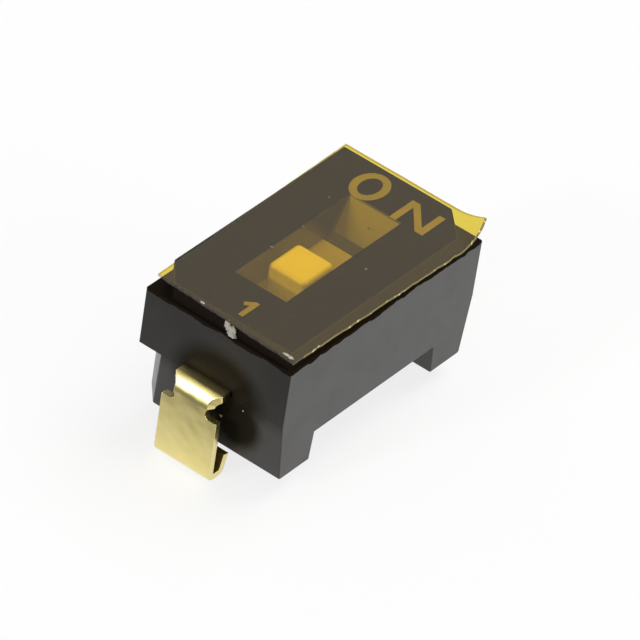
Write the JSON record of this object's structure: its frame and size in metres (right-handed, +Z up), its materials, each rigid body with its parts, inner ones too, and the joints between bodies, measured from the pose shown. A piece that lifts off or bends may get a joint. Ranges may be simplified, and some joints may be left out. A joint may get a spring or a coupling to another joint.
{
  "type": "dip switch",
  "caption": "Surface-mount slide switch with a recessed slider, hooked terminals and amber seal film over its slot.",
  "frame": {"origin": "on the solder plane under the middle of the housing", "axes": "+Z up from the circuit board, +Y from the OFF end to the ON end, +X to the right of someone reading the lettering"},
  "size_m": [0.0034, 0.0064, 0.0035],
  "materials": {
    "black_plastic": "fine matt moulded",
    "gold_plate": "satin gold plate",
    "ivory_plastic": "smooth moulded",
    "amber_film": "clear amber polyimide film"
  },
  "bodies": {
    "housing": {"cover": "black_plastic", "base": "black_plastic", "terminal_off": "gold_plate", "terminal_on": "gold_plate", "seal_tape": "amber_film"},
    "slider": {"slider": "ivory_plastic", "moving_contact": "gold_plate"}
  },
  "joints": [
    {"name": "slider_travel", "type": "slide", "parent": "housing", "child": "slider", "axis": [0, 1, 0], "range_m": [0, 0.00092]}
  ]
}
